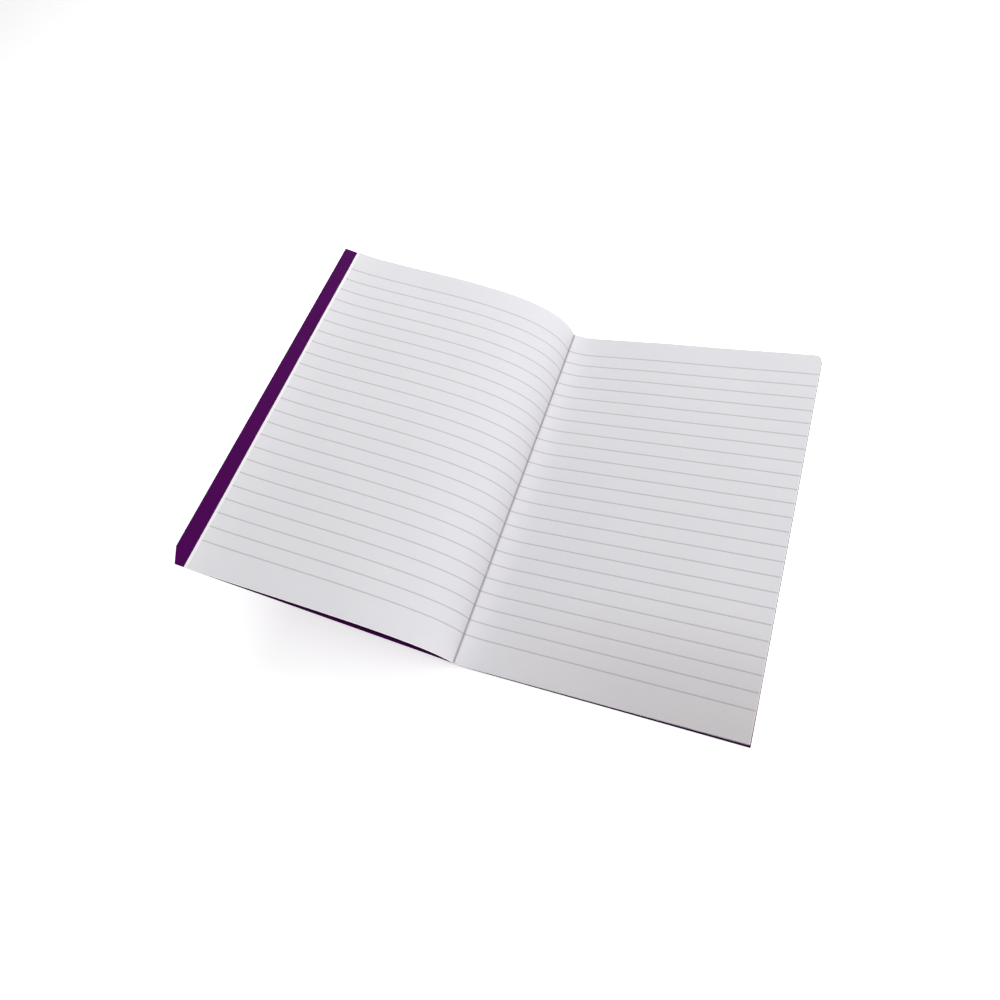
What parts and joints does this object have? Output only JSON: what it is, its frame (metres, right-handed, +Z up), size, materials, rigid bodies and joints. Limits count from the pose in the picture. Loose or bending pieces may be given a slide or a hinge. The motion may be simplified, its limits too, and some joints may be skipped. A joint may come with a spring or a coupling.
{
  "type": "softcover notebook",
  "caption": "Softcover notebook lying open on its back cover, with a raised front cover and bowed left-hand leaves.",
  "frame": {"origin": "middle of the back cover's flat underside, on the surface that the notebook rests on", "axes": "+Z up; +Y along the spine towards the head of the pages; +X from the spine towards the right-hand page's fore edge"},
  "size_m": [0.281, 0.21, 0.0746],
  "materials": {
    "page_paper": "smooth uncoated writing paper with faint grey ruled lines",
    "cover_card": "deep purple card, smooth with a faint sheen",
    "staple_wire": "plain drawn wire"
  },
  "bodies": {
    "notebook": {"page_block": "page_paper", "back_cover": "cover_card", "staples": "staple_wire"},
    "front_cover": {"front_cover": "cover_card"}
  },
  "joints": [
    {"name": "front_cover_fold", "type": "hinge", "parent": "notebook", "child": "front_cover", "pos_m": [-0.08213, 0, 0.00432], "axis": [0, -1, 0], "range_deg": [0, 140]}
  ]
}
